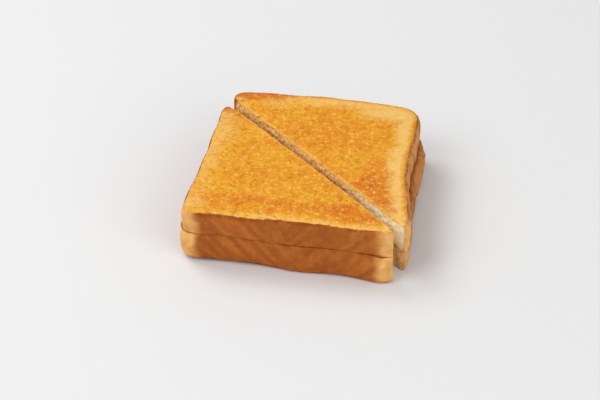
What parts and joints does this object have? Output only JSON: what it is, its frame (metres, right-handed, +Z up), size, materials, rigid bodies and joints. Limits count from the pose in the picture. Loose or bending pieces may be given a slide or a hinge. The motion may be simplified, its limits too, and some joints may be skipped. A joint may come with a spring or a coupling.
{
  "type": "buttered toast",
  "caption": "Stack of thick white toast, golden brown and buttered on top, with browned crusts, cut corner to corner into halves that lie slightly apart.",
  "frame": {"origin": "middle of the stack's footprint, on the surface that it rests on", "axes": "+Z up through the stack, +X to the right along the front crust, +Y away from the front crust"},
  "size_m": [0.1228, 0.127, 0.0325],
  "materials": {
    "upper_toast": "toasted white bread, golden brown face with melted butter, paler rims, brown crust, open pale crumb on the cut",
    "lower_toast": "toasted white bread, brown crust with paler corners, open pale crumb on the cut"
  },
  "bodies": {
    "root": {"upper_slice_near_half": "upper_toast", "upper_slice_far_half": "upper_toast", "lower_slice_near_half": "lower_toast", "lower_slice_far_half": "lower_toast"}
  },
  "joints": []
}
